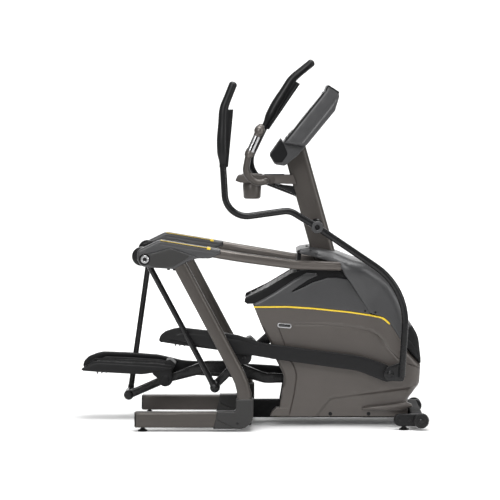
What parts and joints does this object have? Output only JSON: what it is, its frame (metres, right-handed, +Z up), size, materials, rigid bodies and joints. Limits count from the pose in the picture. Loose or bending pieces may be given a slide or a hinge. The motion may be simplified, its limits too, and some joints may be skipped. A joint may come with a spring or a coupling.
{
  "type": "elliptical trainer",
  "caption": "Suspension-type elliptical trainer with rear entry, swinging and fixed handlebars, leaning mast and a closed drive shroud.",
  "frame": {"origin": "on the floor below the middle of the machine", "axes": "+X forwards towards the console, +Y to the user's left, +Z up"},
  "size_m": [1.6756, 0.746, 1.7588],
  "materials": {
    "bronze_paint": "satin metallic bronze powder coat",
    "bronze_tube": "metallic bronze powder coat with a light sheen",
    "bronze_panel": "bronze moulded plastic, fine texture",
    "slate_plastic": "dark slate moulded plastic",
    "elbow_plastic": "dark grey moulded plastic",
    "black_steel": "semi-gloss black powder coat",
    "black_plastic": "black moulded plastic",
    "charcoal_plastic": "charcoal moulded plastic",
    "screen_glass": "gloss black screen panel",
    "grip_foam": "matt black moulded rubber grip",
    "tread_rubber": "ribbed black rubber",
    "wheel_rubber": "black rubber",
    "chrome_plate": "polished",
    "bright_steel": "ground steel",
    "cast_wheel": "machined cast iron",
    "yellow_accent": "satin yellow",
    "belt_rubber": "ribbed belt"
  },
  "bodies": {
    "frame": {"base_beam": "black_steel", "brake_magnet": "bright_steel", "console_housing": "slate_plastic", "console_screen": "screen_glass", "console_tray": "black_plastic", "cup_holder": "black_plastic", "drive_belt": "belt_rubber", "drive_frame": "black_steel", "fixed_handlebar": "black_steel", "front_stabilizer": "black_steel", "handle_axle": "bright_steel", "heart_rate_sleeves": "chrome_plate", "left_elbow_cover": "elbow_plastic", "left_rear_cover": "slate_plastic", "left_rear_side_panel": "bronze_panel", "left_shroud_side": "bronze_panel", "left_side_frame": "bronze_paint", "left_stabilizer_end": "bronze_panel", "left_upper_tube": "bronze_tube", "mast": "bronze_paint", "rear_cover_accents": "yellow_accent", "rear_cross_member": "black_steel", "right_elbow_cover": "elbow_plastic", "right_rear_cover": "slate_plastic", "right_rear_side_panel": "bronze_panel", "right_shroud_side": "bronze_panel", "right_side_frame": "bronze_paint", "right_stabilizer_end": "bronze_panel", "right_upper_tube": "bronze_tube", "shroud_front_cover": "slate_plastic", "shroud_hood": "slate_plastic", "shroud_rear_panel": "black_plastic", "shroud_trim_strips": "yellow_accent", "tray_arm": "bronze_panel", "wheel_axles": "bright_steel"},
    "right_swing_rod": {"right_suspension_rod": "black_steel"},
    "right_support": {"right_support_arm": "black_steel"},
    "right_pedal_unit": {"right_pedal_link": "charcoal_plastic", "right_pedal": "charcoal_plastic", "right_pedal_tread": "tread_rubber"},
    "right_handlebar": {"right_moving_handle": "black_steel", "right_handle_grip": "grip_foam"},
    "right_wheel": {"right_transport_wheel": "wheel_rubber"},
    "right_rear_levelling_foot": {"right_rear_foot": "black_plastic"},
    "right_front_levelling_foot": {"right_front_foot": "black_plastic"},
    "left_swing_rod": {"left_suspension_rod": "black_steel"},
    "left_support": {"left_support_arm": "black_steel"},
    "left_pedal_unit": {"left_pedal_link": "charcoal_plastic", "left_pedal": "charcoal_plastic", "left_pedal_tread": "tread_rubber"},
    "left_handlebar": {"left_moving_handle": "black_steel", "left_handle_grip": "grip_foam"},
    "left_wheel": {"left_transport_wheel": "wheel_rubber"},
    "left_rear_levelling_foot": {"left_rear_foot": "black_plastic"},
    "left_front_levelling_foot": {"left_front_foot": "black_plastic"},
    "crank": {"crank_shaft": "bright_steel", "right_crank_arm": "black_steel", "left_crank_arm": "black_steel", "drive_pulley": "black_plastic"},
    "flywheel_unit": {"flywheel": "cast_wheel"}
  },
  "joints": [
    {"name": "right_handlebar_swing", "type": "hinge", "parent": "frame", "child": "right_handlebar", "pos_m": [0.305, -0.262, 0.961], "axis": [0, -1, 0], "range_deg": [-32, 2.9]},
    {"name": "right_rod_swing", "type": "hinge", "parent": "frame", "child": "right_swing_rod", "pos_m": [-0.51, -0.243, 0.813], "axis": [0, -1, 0], "range_deg": [-39.83, 3.63]},
    {"name": "right_support_pivot", "type": "hinge", "parent": "right_swing_rod", "child": "right_support", "pos_m": [-0.17999, -0.243, 0.19454], "axis": [0, -1, 0], "range_deg": [-1.51, 16.45]},
    {"name": "right_pedal_pivot", "type": "hinge", "parent": "right_support", "child": "right_pedal_unit", "pos_m": [-0.04065, -0.11, 0.3352], "axis": [0, -1, 0], "range_deg": [-2.58, 28.32]},
    {"name": "left_handlebar_swing", "type": "hinge", "parent": "frame", "child": "left_handlebar", "pos_m": [0.305, 0.262, 0.961], "axis": [0, -1, 0], "range_deg": [-2.92, 32.02]},
    {"name": "left_rod_swing", "type": "hinge", "parent": "frame", "child": "left_swing_rod", "pos_m": [-0.51, 0.243, 0.813], "axis": [0, -1, 0], "range_deg": [-3.63, 39.83]},
    {"name": "left_support_pivot", "type": "hinge", "parent": "left_swing_rod", "child": "left_support", "pos_m": [-0.60933, 0.243, 0.11907], "axis": [0, -1, 0], "range_deg": [-16.45, 1.51]},
    {"name": "left_pedal_pivot", "type": "hinge", "parent": "left_support", "child": "left_pedal_unit", "pos_m": [-0.42844, 0.11, 0.19958], "axis": [0, -1, 0], "range_deg": [-28.32, 2.58]},
    {"name": "crank_spin", "type": "hinge", "parent": "frame", "child": "crank", "pos_m": [0.422, 0, 0.393], "axis": [0, -1, 0], "continuous": true},
    {"name": "flywheel_spin", "type": "hinge", "parent": "frame", "child": "flywheel_unit", "pos_m": [0.665, 0, 0.29], "axis": [0, -1, 0], "continuous": true},
    {"name": "right_wheel_spin", "type": "hinge", "parent": "frame", "child": "right_wheel", "pos_m": [0.798, -0.312, 0.047], "axis": [0, -1, 0], "continuous": true},
    {"name": "right_rear_foot_screw", "type": "slide", "parent": "frame", "child": "right_rear_levelling_foot", "axis": [0, 0, -1], "range_m": [0, 0.01]},
    {"name": "right_front_foot_screw", "type": "slide", "parent": "frame", "child": "right_front_levelling_foot", "axis": [0, 0, -1], "range_m": [0, 0.01]},
    {"name": "left_wheel_spin", "type": "hinge", "parent": "frame", "child": "left_wheel", "pos_m": [0.798, 0.312, 0.047], "axis": [0, -1, 0], "continuous": true},
    {"name": "left_rear_foot_screw", "type": "slide", "parent": "frame", "child": "left_rear_levelling_foot", "axis": [0, 0, -1], "range_m": [0, 0.01]},
    {"name": "left_front_foot_screw", "type": "slide", "parent": "frame", "child": "left_front_levelling_foot", "axis": [0, 0, -1], "range_m": [0, 0.01]}
  ],
  "couplings": [
    {"joint": "right_rod_swing", "follows": "right_handlebar_swing", "ratio": 1.2441},
    {"joint": "right_support_pivot", "follows": "right_handlebar_swing", "ratio": -0.51344},
    {"joint": "right_pedal_pivot", "follows": "right_handlebar_swing", "ratio": -0.88426},
    {"joint": "left_handlebar_swing", "follows": "right_handlebar_swing", "ratio": -1},
    {"joint": "left_rod_swing", "follows": "right_handlebar_swing", "ratio": -1.2441},
    {"joint": "left_support_pivot", "follows": "right_handlebar_swing", "ratio": 0.51344},
    {"joint": "left_pedal_pivot", "follows": "right_handlebar_swing", "ratio": 0.88426},
    {"joint": "flywheel_spin", "follows": "crank_spin", "ratio": 6.1111}
  ]
}
